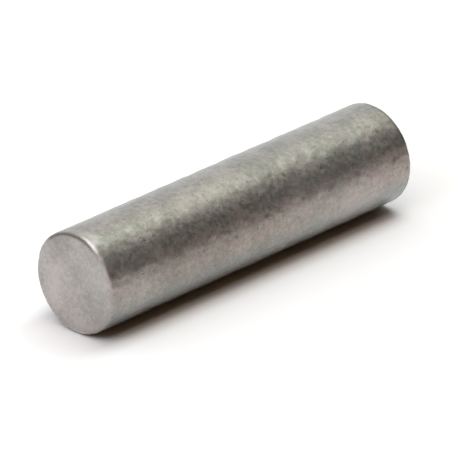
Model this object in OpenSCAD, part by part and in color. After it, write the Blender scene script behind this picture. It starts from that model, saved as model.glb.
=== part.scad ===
// Locking pin: one plain round steel pin, standing on its lower end face.
// Units are millimetres. The origin is the centre of the lower end face, and +Z runs along the pin.

/* [Shank] */
// Diameter of the straight wall, which is the pin's fitting size
pin_diameter = 5; // [2:0.5:12]
// Length from end face to end face
pin_length = 20; // [8:1:60]

/* [Ends] */
// Radius of the rounded rim between the lower end face and the wall
lower_rim_radius = 0.2; // [0.1:0.05:0.8]
// Radius of the rounded rim between the upper end face and the wall
upper_rim_radius = 0.2; // [0.1:0.05:0.8]

/* [Hidden] */

// Facets round the pin in a preview
round_steps = 96;
// Facets round a full circle of the small rim arcs in a preview
rim_steps = 48;

wall_radius = pin_diameter / 2;
// The straight wall lies between the two rims
wall_bottom = lower_rim_radius;
wall_top = pin_length - upper_rim_radius;

// Dull grey of tumbled steel
steel_grey = [0.60, 0.58, 0.55];

// One rounded corner of the half section, with its arc's centre at height arc_z.
// The bar beside the arc carries the flat end face out to where the rim begins.
module rim_corner(rim_radius, arc_z) {
    translate([wall_radius - rim_radius, arc_z])
        circle(r = rim_radius, $fn = rim_steps);
    translate([0, arc_z - rim_radius])
        square([wall_radius - rim_radius, 2 * rim_radius]);
}

// Half of the pin's lengthwise section, from the axis out to the wall
module half_section() {
    translate([0, wall_bottom])
        square([wall_radius, wall_top - wall_bottom]);
    rim_corner(lower_rim_radius, wall_bottom);
    rim_corner(upper_rim_radius, wall_top);
}

// The pin is turned in one piece: its half section carried once round the axis
module pin() {
    color(steel_grey)
        rotate_extrude($fn = round_steps)
            half_section();
}

pin();
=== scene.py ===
import math

import bpy
import numpy as np
from mathutils import Matrix, Vector


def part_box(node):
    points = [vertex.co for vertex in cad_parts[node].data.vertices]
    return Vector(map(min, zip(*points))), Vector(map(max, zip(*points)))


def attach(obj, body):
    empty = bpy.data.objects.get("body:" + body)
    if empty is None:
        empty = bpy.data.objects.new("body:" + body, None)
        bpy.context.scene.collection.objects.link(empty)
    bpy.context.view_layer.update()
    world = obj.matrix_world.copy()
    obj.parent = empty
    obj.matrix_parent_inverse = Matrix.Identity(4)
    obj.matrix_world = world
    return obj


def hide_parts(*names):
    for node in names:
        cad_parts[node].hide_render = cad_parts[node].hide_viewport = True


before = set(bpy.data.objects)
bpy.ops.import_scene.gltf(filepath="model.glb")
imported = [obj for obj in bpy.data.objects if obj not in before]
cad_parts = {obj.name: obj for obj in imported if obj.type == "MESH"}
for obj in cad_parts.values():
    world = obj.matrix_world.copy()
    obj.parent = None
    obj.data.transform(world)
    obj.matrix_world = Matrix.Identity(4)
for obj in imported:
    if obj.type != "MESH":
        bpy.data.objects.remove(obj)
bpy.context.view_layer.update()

pinLow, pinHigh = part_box("pin")
pinRadius = (pinHigh.x - pinLow.x) / 2
pinLength = pinHigh.z - pinLow.z
pinMiddle = (pinLow + pinHigh) / 2
perMetre = 1000               # millimetres in a metre
print(f"frame: pin {perMetre * 2 * pinRadius:.2f} mm across, {perMetre * pinLength:.2f} mm long")


# The pin stands on its lower end in its frame, and the camera shows it lying on its side. So
# the camera, the floor and the lamps are set out from the side of the wall that then faces up.
lying = {
    "upAzimuth": 225.0,       # degrees round the pin to the side that faces up
    "gap": 0.000004,          # metres between the wall and the floor it lies on
}

upTurn = math.radians(lying["upAzimuth"])
upSide = Vector((math.sin(upTurn), -math.cos(upTurn), 0.0))
nearEnd = Vector((0.0, 0.0, -1.0))  # the lower end is the one near the camera
cameraSide = upSide.cross(nearEnd)


# A direction given by its shares towards the near end, the camera's side and up.
def towards(near, side, up):
    return (nearEnd * near + cameraSide * side + upSide * up).normalized()


# The way that the wall faces at a turn, in degrees from the side that faces up, growing
# towards the camera's side.
def outwardAt(turn):
    turned = math.radians(turn)
    return upSide * math.cos(turned) + cameraSide * math.sin(turned)


cameraPlan = {
    "height": 25.3,           # degrees above the lying floor
    "turn": 44.0,             # degrees round from the near end to the camera's side
    "distance": 0.375,        # metres from the pin's middle
    "pictureWidth": 0.02132,  # metres across the picture at the pin's middle
    "aimRight": 0.00016,      # metres from the pin's middle to the picture's centre
    "aimUp": -0.00061,
    "sensor": 36.0,           # millimetres across the sensor
    "nearest": 0.01,          # metres from the camera to the first and the last thing seen
    "farthest": 20.0,
}


# An upright camera over the lying floor: its right is level, and its lens follows from
# the width that the picture takes in at the pin's distance.
def makeCamera(plan):
    height, turn = math.radians(plan["height"]), math.radians(plan["turn"])
    level = math.cos(height)
    back = towards(level * math.cos(turn), level * math.sin(turn), math.sin(height))
    right = upSide.cross(back).normalized()
    top = back.cross(right)
    data = bpy.data.cameras.new("camera")
    data.sensor_width = plan["sensor"]
    data.lens = plan["sensor"] * plan["distance"] / plan["pictureWidth"]
    data.clip_start, data.clip_end = plan["nearest"], plan["farthest"]
    camera = bpy.data.objects.new("camera", data)
    place = pinMiddle + right * plan["aimRight"] + top * plan["aimUp"] + back * plan["distance"]
    turned = Matrix((right, top, back)).transposed().to_4x4()
    camera.matrix_world = Matrix.Translation(place) @ turned
    bpy.context.scene.collection.objects.link(camera)
    bpy.context.scene.camera = camera


makeCamera(cameraPlan)
print("camera: set over the lying floor")


# A node's output, wrapped so that sums on shader values read as ordinary sums.
class Wire:
    def __init__(self, bench, socket):
        self.bench = bench
        self.socket = socket

    def maths(self, operation, *values):
        return self.bench.add("Math", {"operation": operation}, dict(enumerate(values)))

    def __add__(self, other):
        return self.maths("ADD", self, other)

    def __radd__(self, other):
        return self.maths("ADD", other, self)

    def __sub__(self, other):
        return self.maths("SUBTRACT", self, other)

    def __rsub__(self, other):
        return self.maths("SUBTRACT", other, self)

    def __mul__(self, other):
        return self.maths("MULTIPLY", self, other)

    def __rmul__(self, other):
        return self.maths("MULTIPLY", other, self)

    def __lt__(self, other):
        return self.maths("LESS_THAN", self, other)


# A material's or the room's node tree, emptied, with one method that adds any node.
class Bench:
    def __init__(self, tree):
        self.tree = tree
        tree.nodes.clear()

    def add(self, kind, settings=None, inputs=None, output=0):
        node = self.tree.nodes.new("ShaderNode" + kind)
        for name, value in (settings or {}).items():
            setattr(node, name, value)
        for name, value in (inputs or {}).items():
            if isinstance(value, Wire):
                self.tree.links.new(value.socket, node.inputs[name])
            else:
                node.inputs[name].default_value = value
        return Wire(self, node.outputs[output]) if len(node.outputs) else None

    # 1 for what is seen straight: by the camera, or by it in metal or glass, with no matt
    # surface between. What the floor gathers by way of the pin counts as light instead.
    def seenStraight(self):
        camera, glossy, clear = (self.add("LightPath", None, None, f"Is {kind} Ray")
                                 for kind in ("Camera", "Glossy", "Transmission"))
        matt = self.add("LightPath", None, None, "Diffuse Depth")
        return (camera + glossy + clear) * (matt < 1.0)


def newMaterial(name):
    material = bpy.data.materials.new(name)
    material.use_nodes = True
    return material, Bench(material.node_tree)


steel = {
    "light": (0.416, 0.379, 0.341, 1.0),     # the steel where it is cleanest
    "dark": (0.248, 0.227, 0.204, 1.0),      # and between the grains
    "greenish": (0.977, 1.010, 0.970, 1.0),  # faint tints in the film left by tumbling
    "brownish": (1.028, 0.990, 1.000, 1.0),
    # Wide tints that run along the wall, painted light where the lamps fall: an olive painted
    # highlight, a pinkish painted reflection of the floor on the lower flank and a bluish one at the
    # lower edge. Each gives degrees round from the side that faces up, degrees that each reaches to
    # either hand, and its colour.
    "paintedLightTints": [
        (23, 22, (1.02, 1.065, 1.0, 1.0)),
        (80, 30, (1.07, 0.98, 0.965, 1.0)),
        (130, 30, (0.91, 1.0, 1.07, 1.0)),
    ],
    "darkening": (0.085, 0.072, 0.058, 1.0),     # in the specks and pits, and along the rims
    "bareAndHighlightColour": (0.80, 0.79, 0.765, 1.0),      # flecks, rubbed spots and the nick, and the painted glints, highlights and paler patches
    "edgeTint": (0.80, 0.93, 1.0, 1.0),      # colour of the reflections seen edge on
    "metallic": 1.0,
    "roughness": 0.54,
    "roughMix": (0.06, 0.16),                # how far the grain and the mottle change it
    "oil": 0.96,                             # a thin film that sharpens the highlights
    "oilRoughness": 0.30,
    # Each kind of mark: millimetres across, how many finer layers its noise has, and how far
    # that noise is moved, so that no two of them match.
    "grain": (0.085, 1.5, 0.0),
    "mottle": (0.24, 2.0, 7.0),
    "cloud": (2.4, 2.0, 19.0),
    "tint": (0.60, 2.0, 31.0),
    "speck": (0.17, 1.0, 43.0),
    "fleck": (0.17, 1.0, 57.0),
    "layerShare": 0.55,                      # strength of each finer layer beside the last
    "toneMix": (0.24, 0.38, 0.38),           # shares of grain, mottle and cloud in the tone
    "toneRange": (0.375, 0.625),             # the values of it that are dark and light
    "tintMix": (0.7, 0.3),                   # shares of tint and cloud in the faint tints
    "tintRange": (0.38, 0.62),               # the values of it that are greenish and brownish
    "speckRange": (0.62, 0.78),              # the values at which a speck starts and is full
    "fleckRange": (0.66, 0.80),
    "speckStrength": 0.56,
    "fleckStrength": 0.28,
    "reliefMix": (0.2, 0.8, 0.4),            # how far grain and mottle stand out, specks bite in
    "biteDepth": 0.000017,                   # metres for each 1 of that relief
    "rimReach": 0.38,                        # millimetres that the rubbed rims run in
    "rimWear": 0.4,                          # how far they are rubbed back to the clean steel
    # How the end faces differ from the wall.
    "faceReach": 0.1,                        # millimetres in from an end that count as its face
    "faceTint": (1.16, 1.17, 1.22, 1.0),     # they are made paler and bluer than the wall
    "faceClouds": 1.1,                       # clouds added to the tone
    "faceCalm": 0.3,                         # share of the rest of the tone left out
    "faceFilm": 0.5,                         # share of the faint tints left out
    "faceSpecks": 0.3,                       # strength that the specks lose
    "faceRelief": 0.5,                       # share of the relief left out
}


# Tumbled steel: fine grain over soft mottles and wide clouds, with dark specks and paler
# flecks, all worked out in millimetres on the pin's own coordinates. The mesh adds "marks":
# below 0 at pits and darker rim lines, above 0 at rubbed spots and the nick, and at painted
# glints, painted highlights and painted paler patches.
def makeSteel(plan):
    material, bench = newMaterial("tumbledSteel")
    metres = bench.add("TexCoord", None, None, "Object")
    place = bench.add("VectorMath", {"operation": "SCALE"}, {0: metres, "Scale": perMetre}, "Vector")
    average = 0.5  # of every noise

    def noise(size, detail, shift):
        terms = {0: place, 1: (shift, 0.0, 0.0)}
        moved = bench.add("VectorMath", {"operation": "ADD"}, terms, "Vector")
        inputs = {"Vector": moved, "Scale": 1 / size, "Detail": detail,
                  "Roughness": plan["layerShare"]}
        return bench.add("TexNoise", None, inputs)

    def between(value, low, high):
        ends = {"Value": value, "From Min": low, "From Max": high}
        return bench.add("MapRange", {"interpolation_type": "SMOOTHSTEP"}, ends)

    def blend(factor, first, second, kind="MIX"):
        settings = {"data_type": "RGBA", "blend_type": kind}
        return bench.add("Mix", settings, {0: factor, 6: first, 7: second}, 2)

    grain, mottle, cloud, tint = (noise(*plan[name]) for name in ("grain", "mottle", "cloud", "tint"))
    specks = between(noise(*plan["speck"]), *plan["speckRange"])
    flecks = between(noise(*plan["fleck"]), *plan["fleckRange"])
    marks = bench.add("Attribute", {"attribute_name": "marks"}, None, "Fac")
    darkened, bareAndPaintedLight = (bench.add("Clamp", None, {"Value": marks * sign}) for sign in (-1.0, 1.0))

    height = bench.add("SeparateXYZ", None, {0: place}, "Z")
    middle = perMetre * pinLength / 2
    inFromEnd = middle - bench.add("Math", {"operation": "ABSOLUTE"}, {0: height - middle})
    flat = bench.add("VectorMath", {"operation": "MULTIPLY"}, {0: place, 1: (1.0, 1.0, 0.0)}, "Vector")
    outward = bench.add("VectorMath", {"operation": "LENGTH"}, {0: flat}, "Value")
    nearEnds = between(inFromEnd, plan["rimReach"], 0.0)
    nearWall = between(outward, perMetre * pinRadius - plan["rimReach"], perMetre * pinRadius)
    rubbed = nearEnds * nearWall
    endFace = between(inFromEnd, plan["faceReach"], 0.0)

    # 1 along a line up the wall, fading out at either hand: where a painted tint lies.
    def alongWall(turn, reach):
        line = outwardAt(turn) / (perMetre * pinRadius)
        facing = bench.add("VectorMath", {"operation": "DOT_PRODUCT"}, {0: flat, 1: line}, "Value")
        return between(facing, math.cos(math.radians(reach)), 1.0)

    ofGrain, ofMottle, ofCloud = plan["toneMix"]
    tone = between(ofGrain * grain + ofMottle * mottle + ofCloud * cloud, *plan["toneRange"])
    change = plan["faceClouds"] * (cloud - average) - plan["faceCalm"] * (tone - average)
    clean = blend(tone + endFace * change, plan["dark"], plan["light"])
    ofTint, ofCloud = plan["tintMix"]
    hue = between(ofTint * tint + ofCloud * cloud, *plan["tintRange"])
    film = blend(hue, plan["greenish"], plan["brownish"])
    tinted = blend(1 - plan["faceFilm"] * endFace, clean, film, "MULTIPLY")
    # Painted light: each wide tint lies where a highlight or a reflection of the floor falls.
    for turn, reach, paintedTint in plan["paintedLightTints"]:
        tinted = blend(alongWall(turn, reach), tinted, paintedTint, "MULTIPLY")
    tinted = blend(endFace, tinted, plan["faceTint"], "MULTIPLY")
    worn = blend(rubbed * plan["rimWear"], tinted, plan["light"])
    strength = plan["speckStrength"] - plan["faceSpecks"] * endFace
    specked = blend(specks * strength, worn, plan["darkening"])
    flecked = blend(flecks * plan["fleckStrength"], specked, plan["bareAndHighlightColour"])
    withDarkMarks = blend(darkened, flecked, plan["darkening"])
    # Rubbed spots and the nick turn paler here, and so do the painted glints, painted highlights and
    # painted paler patches.
    colour = blend(bareAndPaintedLight, withDarkMarks, plan["bareAndHighlightColour"])

    ofGrain, ofMottle = plan["roughMix"]
    rough = plan["roughness"] + ofGrain * (grain - average) + ofMottle * (mottle - average)
    ofGrain, ofMottle, ofSpecks = plan["reliefMix"]
    relief = ofGrain * grain + ofMottle * mottle - ofSpecks * specks
    relief = relief * (1 - plan["faceRelief"] * endFace)
    bump = bench.add("Bump", None, {"Strength": 1.0, "Distance": plan["biteDepth"], "Height": relief})
    shader = bench.add("BsdfPrincipled", None, {
        "Base Color": colour, "Metallic": plan["metallic"], "Roughness": rough, "Normal": bump,
        "Specular Tint": plan["edgeTint"], "Coat Weight": plan["oil"],
        "Coat Roughness": plan["oilRoughness"]})
    bench.add("OutputMaterial", None, {"Surface": shader})
    return material


pinPlan = {
    "rimRadius": 0.0002,
    "around": 240,            # columns round the axis
    "faceRings": 32,          # rings over each end face, round each rim and up the wall
    "rimRings": 9,
    "wallRings": 300,
    "seed": 23,
    # The ripple: the length and the height of its waves in metres, and how many there are of
    # each. The flat faces have a share of it, and a point this near an end lies on its face.
    "waves": [(0.0016, 0.0000045), (0.0008, 0.0000042), (0.0004, 0.0000030)],
    "wavesOfEach": 24,
    "faceRipple": 0.3,
    "faceWithin": 0.000001,
    "wornDepth": 0.000008,    # how far the rims are rubbed down
    "wornReach": 0.0005,      # and how far in from them that fades out
    "dents": 60,
    "dentReach": (0.00012, 0.00040),
    "dentDepth": (0.000002, 0.000008),
    # Marks on the wall: millimetres above the lower face, degrees round from the side that
    # faces up, millimetres across, and strength.
    "pits": [
        (12.2, 40, 0.20, 1.0), (18.6, 37, 0.22, 1.0), (11.5, 34, 0.18, 1.0), (19.65, 88, 0.16, 1.0),
    ],
    "pitDepth": 0.000012,
    "pitTone": 0.8,           # how dark a pit is, where 1 is the full dark colour
    # Pale spots, partly rubbed steel and partly painted glints along the highlight; the last three
    # spread the nick's painted highlight onto the wall.
    "rubsAndGlints": [
        (13.3, 28, 0.18, 0.24), (14.6, 27, 0.20, 0.24), (9.6, 26, 0.18, 0.24),
        (16.1, 19, 0.18, 0.24), (10.4, 28, 0.16, 0.24), (16.9, 32, 0.18, 0.24),
        (2.4, 25, 0.20, 0.24), (0.50, 8, 0.50, 0.25), (0.60, 15, 0.60, 0.38), (0.50, 22, 0.50, 0.38),
    ],
    # Wide patches painted paler than the rest: painted brighter reflections on the lower flank and in
    # the dark band, and a painted highlight near the far end.
    "paintedPaleness": [
        (14.4, 98, 6.0, 0.12), (16.2, 124, 4.5, 0.14), (1.3, 76, 3.4, 0.12),
        (16.9, 43, 2.4, 0.10), (10.9, 56, 1.6, 0.10),
    ],
    # The nick on the lower rim, and how deep it has rubbed it down. Its bright colour is partly a
    # painted highlight, the lamp's glint on the rim.
    "nickAndGlint": [
        (0.19, 9, 0.16, 0.5), (0.18, 12, 0.18, 0.6), (0.17, 15, 0.20, 0.7),
        (0.16, 18, 0.20, 0.8), (0.14, 21, 0.20, 0.9), (0.12, 24, 0.20, 1.0),
        (0.10, 27, 0.22, 1.0), (0.07, 30, 0.24, 1.0), (0.05, 33, 0.22, 1.0),
    ],
    "nickDepth": 0.000020,
    # Darker lines painted along part of a rim: height and radius, then from and to in degrees round,
    # and its breadth.
    "darkRimLines": [(0.03, 2.40, -50, 38, 0.17), (19.88, 2.48, -12, 66, 0.26)],
    "darkRimFade": 10,          # degrees over which it starts and stops
    "darkRimTone": 0.92,        # how dark it is
}


# Half section from the middle of the lower face to the middle of the upper one: straight out
# over the face, a quarter circle round the rim, up the wall, and the same again in reverse.
# Each point comes with the direction that its surface faces, outwards and upwards.
def pinProfile(plan):
    rim = plan["rimRadius"]
    out = np.linspace(0.0, 1.0, plan["faceRings"] + 1)
    bend = np.linspace(0.0, math.pi / 2, plan["rimRings"] + 1)[1:]
    wallHeight = np.linspace(rim, pinLength - rim, plan["wallRings"] + 1)[1:-1]
    faceRadius = out * (pinRadius - rim)
    rimRadius = pinRadius - rim + rim * np.sin(bend)
    rimHeight = rim - rim * np.cos(bend)
    endRadius = np.concatenate([faceRadius, rimRadius])
    endHeight = np.concatenate([np.zeros_like(out), rimHeight])
    endOut = np.concatenate([np.zeros_like(out), np.sin(bend)])
    endDown = np.concatenate([np.ones_like(out), np.cos(bend)])
    level = np.zeros_like(wallHeight)
    radius = np.concatenate([endRadius, level + pinRadius, endRadius[::-1]])
    height = np.concatenate([endHeight, wallHeight, pinLength - endHeight[::-1]])
    outwards = np.concatenate([endOut, level + 1.0, endOut[::-1]])
    upwards = np.concatenate([-endDown, level, endDown[::-1]])
    return radius, height, outwards, upwards


# Ripple left by tumbling: many sine waves of a few lengths, each in its own random direction.
# It is taken down by its highest crest, so that it only lets the surface in.
def ripple(points, plan, draw):
    total = np.zeros(len(points))
    for length, size in plan["waves"]:
        count = plan["wavesOfEach"]
        heading = draw.normal(size=(3, count))
        heading /= np.linalg.norm(heading, axis=0)
        phase = draw.uniform(0, 2 * math.pi, count)
        turns = points @ heading * (2 * math.pi / length) + phase
        total += size * math.sqrt(2 / count) * np.sin(turns).sum(axis=1)
    onFace = np.minimum(points[:, 2], pinLength - points[:, 2]) < plan["faceWithin"]
    return (total - total.max()) * np.where(onFace, plan["faceRipple"], 1.0)


# Small knocks: each lowers the surface by a bell curve of the distance from its middle.
def knocks(points, plan, draw):
    total = np.zeros(len(points))
    for middle in points[draw.integers(0, len(points), plan["dents"])]:
        reach = draw.uniform(*plan["dentReach"])
        depth = draw.uniform(*plan["dentDepth"])
        away = ((points - middle) ** 2).sum(axis=1)
        total -= depth * np.exp(-away / (0.5 * reach ** 2))
    return total


# The rims are rubbed down a little more than the rest, fading out along the wall and the faces.
def wear(points, plan):
    out = np.hypot(points[:, 0], points[:, 1])
    fromEnd = np.minimum(points[:, 2], pinLength - points[:, 2])
    fromRim = np.hypot(pinRadius - out, fromEnd)
    return -plan["wornDepth"] * np.exp(-((fromRim / plan["wornReach"]) ** 2))


# A bell for each mark, with its strength at the middle, and the most of them at every point.
def bells(points, marks):
    most = np.zeros(len(points))
    for height, turn, breadth, strength in marks:
        middle = np.array(outwardAt(turn) * pinRadius) + [0, 0, height / perMetre]
        away = ((points - middle) ** 2).sum(axis=1)
        most = np.maximum(most, strength * np.exp(-away / (breadth / 2 / perMetre) ** 2))
    return most


# Lines that run part of the way round a rim, fading out at both ends.
def rimLines(points, lines, fade):
    most = np.zeros(len(points))
    turn = np.degrees(np.arctan2(points @ np.array(cameraSide), points @ np.array(upSide)))
    out = np.hypot(points[:, 0], points[:, 1])
    for height, radius, start, stop, breadth in lines:
        off = np.hypot(points[:, 2] - height / perMetre, out - radius / perMetre)
        along = np.clip((turn - start) / fade, 0, 1) * np.clip((stop - turn) / fade, 0, 1)
        most = np.maximum(most, along * np.exp(-(off / (breadth / 2 / perMetre)) ** 2))
    return most


# The half section carried round the axis: each ring is the profile point times (cos, sin) of
# the angle. The two middle points are single vertices, and the last column joins the first.
# Every point is then let in against the way that it faces, by the ripple, the knocks, the
# wear, the pits and the nick.
def makePin(plan, material):
    radius, height, outwards, upwards = pinProfile(plan)
    angle = np.arange(plan["around"]) / plan["around"] * 2 * math.pi

    def carryRound(across, along):
        ring = across[1:-1, None]
        x, y = ring * np.cos(angle), ring * np.sin(angle)
        z = np.broadcast_to(along[1:-1, None], x.shape)
        rings = np.stack([x, y, z], axis=-1).reshape(-1, 3)
        return np.concatenate([rings, [[0, 0, along[0]], [0, 0, along[-1]]]])

    points = carryRound(radius, height)
    facing = carryRound(outwards, upwards)
    draw = np.random.default_rng(plan["seed"])
    kinds = ("pits", "rubsAndGlints", "paintedPaleness", "nickAndGlint")
    pits, rubsAndGlints, paintedPaleness, nickAndGlint = (bells(points, plan[kind]) for kind in kinds)
    darkening = rimLines(points, plan["darkRimLines"], plan["darkRimFade"])
    inset = ripple(points, plan, draw) + knocks(points, plan, draw) + wear(points, plan)
    inset -= plan["pitDepth"] * pits + plan["nickDepth"] * nickAndGlint
    # Below 0 at pits and darker rim lines; above 0 at rubbed spots and the nick, and at painted
    # glints, painted highlights and painted paler patches.
    darker = np.maximum(plan["pitTone"] * pits, plan["darkRimTone"] * darkening)
    bareAndPaintedLightMask = np.maximum(np.maximum(rubsAndGlints, paintedPaleness), nickAndGlint)
    marks = bareAndPaintedLightMask - darker * (1 - bareAndPaintedLightMask)
    points = points + facing * inset[:, None]
    piece = meshFromGrid("lockingPin", points, len(radius) - 2, plan["around"], material)
    layer = piece.data.attributes.new("marks", "FLOAT", "POINT")
    layer.data.foreach_set("value", marks.astype(np.float32))
    return piece


# Quads between neighbouring rings, and a fan of triangles at each middle point.
def meshFromGrid(name, points, ringCount, around, material):
    column = np.arange(around)
    after = (column + 1) % around
    row = np.arange(ringCount - 1)[:, None] * around
    quads = np.stack([row + column, row + after, row + around + after, row + around + column], axis=-1)
    lowPole, highPole = ringCount * around, ringCount * around + 1
    lastRow = (ringCount - 1) * around
    lowFan = np.stack([np.full(around, lowPole), after, column], axis=-1)
    highFan = np.stack([np.full(around, highPole), lastRow + column, lastRow + after], axis=-1)
    corners = np.concatenate([quads.ravel(), lowFan.ravel(), highFan.ravel()]).astype(np.int32)
    sizes = np.concatenate([np.full(quads.size // 4, 4), np.full(2 * around, 3)]).astype(np.int32)
    starts = np.concatenate([[0], np.cumsum(sizes)[:-1]]).astype(np.int32)
    mesh = bpy.data.meshes.new(name)
    mesh.vertices.add(len(points))
    mesh.vertices.foreach_set("co", points.astype(np.float32).ravel())
    mesh.loops.add(len(corners))
    mesh.loops.foreach_set("vertex_index", corners)
    mesh.polygons.add(len(sizes))
    mesh.polygons.foreach_set("loop_start", starts)
    mesh.polygons.foreach_set("use_smooth", np.ones(len(sizes), dtype=bool))
    mesh.update(calc_edges=True)
    mesh.validate()
    mesh.materials.append(material)
    piece = bpy.data.objects.new(name, mesh)
    bpy.context.scene.collection.objects.link(piece)
    return piece


pin = makePin(pinPlan, makeSteel(steel))
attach(pin, "root")
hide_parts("pin")
print(f"pin: {len(pin.data.polygons)} faces")


floorPlan = {
    "lyingSize": 0.6,         # metres along each side
    "standingSize": 0.24,
    "colour": (0.875, 0.875, 0.89, 1.0),
    "lyingLift": 1.75,        # how much paler than its colour each floor shows
    "standingLift": 2.8,
    "standingDrop": 0.00002,  # metres from the pin's lower face down to the standing floor
    # Shares of its red, green and blue that a floor gives back to itself by way of the pin.
    "bounce": (0.46, 0.31, 0.15),
    "hair": (0.0001, 0.0004),  # metres from a floor within which the pin sees through it
}


# A pale matt floor that shows from its front only. What is seen of it straight is lifted
# to white by its colour, so that a shadow on it keeps its share. From behind it is clear
# to the camera and to lamps, and it is clear to what lies within a hair of its front.
def makeFloorMaterial(name, plan, lift):
    material, bench = newMaterial(name)
    rays = ("Is Camera Ray", "Is Shadow Ray", "Ray Length", "Diffuse Depth")
    cameraRay, shadowRay, reach, mattDepth = (bench.add("LightPath", None, None, ray) for ray in rays)
    back = bench.add("NewGeometry", None, None, "Backfacing")
    lifted = tuple(c * lift for c in plan["colour"][:3]) + (1.0,)
    dimmed = tuple(c * share for c, share in zip(plan["colour"], plan["bounce"])) + (1.0,)
    first = mattDepth < 1.0
    inside = bench.add("Mix", {"data_type": "RGBA"}, {0: first, 6: dimmed, 7: plan["colour"]}, 2)
    straight = bench.seenStraight()
    colour = bench.add("Mix", {"data_type": "RGBA"}, {0: straight, 6: inside, 7: lifted}, 2)
    matt = bench.add("BsdfDiffuse", None, {"Color": colour})
    clear = bench.add("BsdfTransparent")
    close, far = plan["hair"]
    fromPin = first * bench.add("MapRange", None, {"Value": reach, "From Min": far, "From Max": close})
    through = back * (cameraRay + shadowRay) + (1 - back) * (1 - cameraRay) * fromPin
    seen = bench.add("MixShader", None, {0: through, 1: matt, 2: clear})
    bench.add("OutputMaterial", None, {"Surface": seen})
    return material


def makeFloor(name, centre, normal, plan, size, lift):
    half = size / 2
    corners = [(-half, -half, 0), (half, -half, 0), (half, half, 0), (-half, half, 0)]
    turned = normal.to_track_quat("Z", "Y")
    mesh = bpy.data.meshes.new(name)
    mesh.from_pydata([centre + turned @ Vector(c) for c in corners], [], [(0, 1, 2, 3)])
    mesh.materials.append(makeFloorMaterial(name, plan, lift))
    floor = bpy.data.objects.new(name, mesh)
    bpy.context.scene.collection.objects.link(floor)
    return floor


underLying = pinMiddle - upSide * (pinRadius + lying["gap"])
lyingFloor = makeFloor("lyingFloor", underLying, upSide, floorPlan,
                       floorPlan["lyingSize"], floorPlan["lyingLift"])
lyingFloor.visible_diffuse = False  # so that the standing floor isn't darkened where they meet

underStanding = Vector((0, 0, pinLow.z - floorPlan["standingDrop"]))
standingFloor = makeFloor("standingFloor", underStanding, -nearEnd, floorPlan,
                          floorPlan["standingSize"], floorPlan["standingLift"])
standingFloor.visible_shadow = False  # it is there for the camera alone
standingFloor.visible_diffuse = False
standingFloor.visible_glossy = False
standingFloor.visible_transmission = False
print("floors: one under the lying pin, one under the standing pin")


cardPlan = {
    "side": 0.158,            # metres from the pin towards the camera's side
    "footGap": 0.0005,        # metres between the card and the lying floor
    "height": 1.06,
    "reach": 0.86,            # metres along the pin's line, from its middle to either hand
    "colour": (0.030, 0.020, 0.016, 1.0),
}


# A dark brown card that stands over the lying floor on the camera's side. It is there for the
# dark band in the steel, and the camera looks through it.
def makeCard(plan):
    material, bench = newMaterial("darkCard")
    matt = bench.add("BsdfDiffuse", None, {"Color": plan["colour"]})
    bench.add("OutputMaterial", None, {"Surface": matt})
    foot = underLying + cameraSide * plan["side"] + upSide * plan["footGap"]
    reach, height = plan["reach"], plan["height"]
    corners = [(reach, 0.0), (reach, height), (-reach, height), (-reach, 0.0)]
    places = [foot + nearEnd * along + upSide * high for along, high in corners]
    mesh = bpy.data.meshes.new("darkCard")
    mesh.from_pydata(places, [], [(0, 1, 2, 3)])
    mesh.materials.append(material)
    card = bpy.data.objects.new("darkCard", mesh)
    card.visible_camera = False
    bpy.context.scene.collection.objects.link(card)


makeCard(cardPlan)
print("card: dark, on the camera's side")


# Near, side and up give the direction of a lamp, and its distance is in metres from the pin's
# middle. Its width runs along the pin. Brightness is that of its face, where 1 is white.
lamps = {
    "overheadSoftbox": {
        "near": -0.27, "side": 0.077, "up": 1.0, "distance": 0.16,
        "width": 0.116, "depth": 0.072, "brightness": 2.75, "colour": (0.94, 1.0, 0.96),
    },
    "cameraSideSoftbox": {
        "near": 0.48, "side": 0.363, "up": 1.0, "distance": 0.16,
        "width": 0.103, "depth": 0.065, "brightness": 2.35, "colour": (1.0, 0.84, 0.75),
    },
    "nearEndSoftbox": {
        "near": 1.24, "side": 0.063, "up": 1.0, "distance": 0.16,
        "width": 0.078, "depth": 0.080, "brightness": 1.32, "colour": (0.86, 1.0, 1.15),
    },
}


# Each lamp is a soft rectangle facing the pin's middle.
def makeLamp(name, plan):
    data = bpy.data.lights.new(name, "AREA")
    data.shape = "RECTANGLE"
    data.size, data.size_y = plan["width"], plan["depth"]
    data.energy = plan["brightness"] * math.pi * plan["width"] * plan["depth"]
    data.color = plan["colour"]
    lamp = bpy.data.objects.new(name, data)
    back = towards(plan["near"], plan["side"], plan["up"])
    across = (nearEnd - back * nearEnd.dot(back)).normalized()
    along = back.cross(across)
    turned = Matrix((across, along, back)).transposed().to_4x4()
    lamp.matrix_world = Matrix.Translation(pinMiddle + back * plan["distance"]) @ turned
    lamp.visible_camera = False
    bpy.context.scene.collection.objects.link(lamp)


for lampName, lampPlan in lamps.items():
    makeLamp(lampName, lampPlan)
print(f"lamps: {len(lamps)}")


roomPlan = {
    "seen": 1.0,              # brightness of the room as the camera and the steel see it: white
    "light": 0.50,            # and as it lights the floor
}


def makeRoom(plan):
    world = bpy.data.worlds.new("room")
    bpy.context.scene.world = world
    world.use_nodes = True
    bench = Bench(world.node_tree)
    straight = bench.seenStraight()
    level = plan["seen"] * straight + plan["light"] * (1 - straight)
    shade = bench.add("Background", None, {"Color": (1, 1, 1, 1), "Strength": level})
    bench.add("OutputWorld", None, {"Surface": shade})


makeRoom(roomPlan)
bpy.context.scene.view_settings.view_transform = "Standard"
print("room: white")
